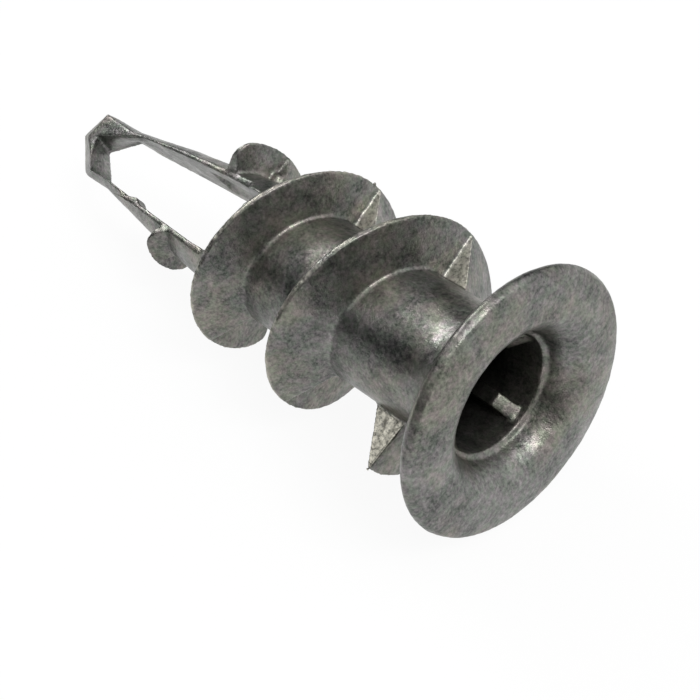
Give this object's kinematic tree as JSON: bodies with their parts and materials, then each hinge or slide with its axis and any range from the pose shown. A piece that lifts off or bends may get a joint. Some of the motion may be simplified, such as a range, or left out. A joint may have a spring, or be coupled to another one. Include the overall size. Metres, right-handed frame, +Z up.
{
  "type": "metal plasterboard anchor",
  "caption": "Self-drilling plasterboard anchor: die-cast metal body with a flanged head, hollow shank, deep coarse thread and a split drill tip on two legs.",
  "frame": {"origin": "centre of the bounding box in plan, at the ground the anchor lies on", "axes": "+X along the anchor from the drill tip to the head, +Z up, anchor lying on its head's rim and its thread"},
  "size_m": [0.0384, 0.015, 0.0149],
  "materials": {
    "cast_zinc": "raw as-cast zinc, dull grey with a slight sheen"
  },
  "bodies": {
    "root": {"anchor_body": "cast_zinc"}
  },
  "joints": []
}
